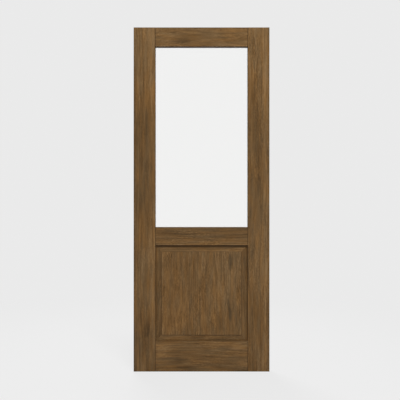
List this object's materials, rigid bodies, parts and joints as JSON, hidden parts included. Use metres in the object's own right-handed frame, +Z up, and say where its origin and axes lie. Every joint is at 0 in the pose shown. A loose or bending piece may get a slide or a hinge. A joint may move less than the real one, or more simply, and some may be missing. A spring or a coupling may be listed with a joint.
{
  "type": "half glazed door leaf",
  "caption": "Half glazed external door leaf in brown stained timber: a tall sealed glass unit over a raised and fielded panel, with through wedged tenons.",
  "frame": {"origin": "on the hinge edge, at the middle of the thickness, level with the bottom edge", "axes": "+X from the hinge edge to the lock edge, +Y from the front face to the back face, +Z up"},
  "size_m": [0.802, 0.044, 2.032],
  "materials": {
    "stile_timber": "brown stained, satin, upright grain",
    "rail_timber": "brown stained, satin, level grain",
    "panel_veneer": "brown stained, satin, upright grain",
    "lipping_timber": "brown stained, satin, grain along each strip",
    "bead_timber": "brown stained, satin, grain along each bead",
    "wedge_timber": "brown stained, end grain",
    "clear_glass": "clear, polished",
    "spacer_bar": "black anodised",
    "glazing_tape": "matt foam",
    "setting_block": "plain"
  },
  "bodies": {
    "root": {"hinge_stile": "stile_timber", "lock_stile": "stile_timber", "top_rail": "rail_timber", "lock_rail": "rail_timber", "bottom_rail": "rail_timber", "hinge_stile_wedges": "wedge_timber", "lock_stile_wedges": "wedge_timber", "panel_field": "panel_veneer", "outer_pane": "clear_glass", "inner_pane": "clear_glass", "setting_block_left": "setting_block", "setting_block_right": "setting_block", "panel_lipping_bottom": "lipping_timber", "panel_lipping_left": "lipping_timber", "panel_lipping_right": "lipping_timber", "panel_lipping_top": "lipping_timber", "spacer_bar_bottom": "spacer_bar", "spacer_bar_left": "spacer_bar", "spacer_bar_right": "spacer_bar", "spacer_bar_top": "spacer_bar", "front_tape_bottom": "glazing_tape", "front_tape_left": "glazing_tape", "front_tape_right": "glazing_tape", "front_tape_top": "glazing_tape", "back_tape_bottom": "glazing_tape", "back_tape_left": "glazing_tape", "back_tape_right": "glazing_tape", "back_tape_top": "glazing_tape", "glazing_bead_bottom": "bead_timber", "glazing_bead_left": "bead_timber", "glazing_bead_right": "bead_timber", "glazing_bead_top": "bead_timber"}
  },
  "joints": []
}
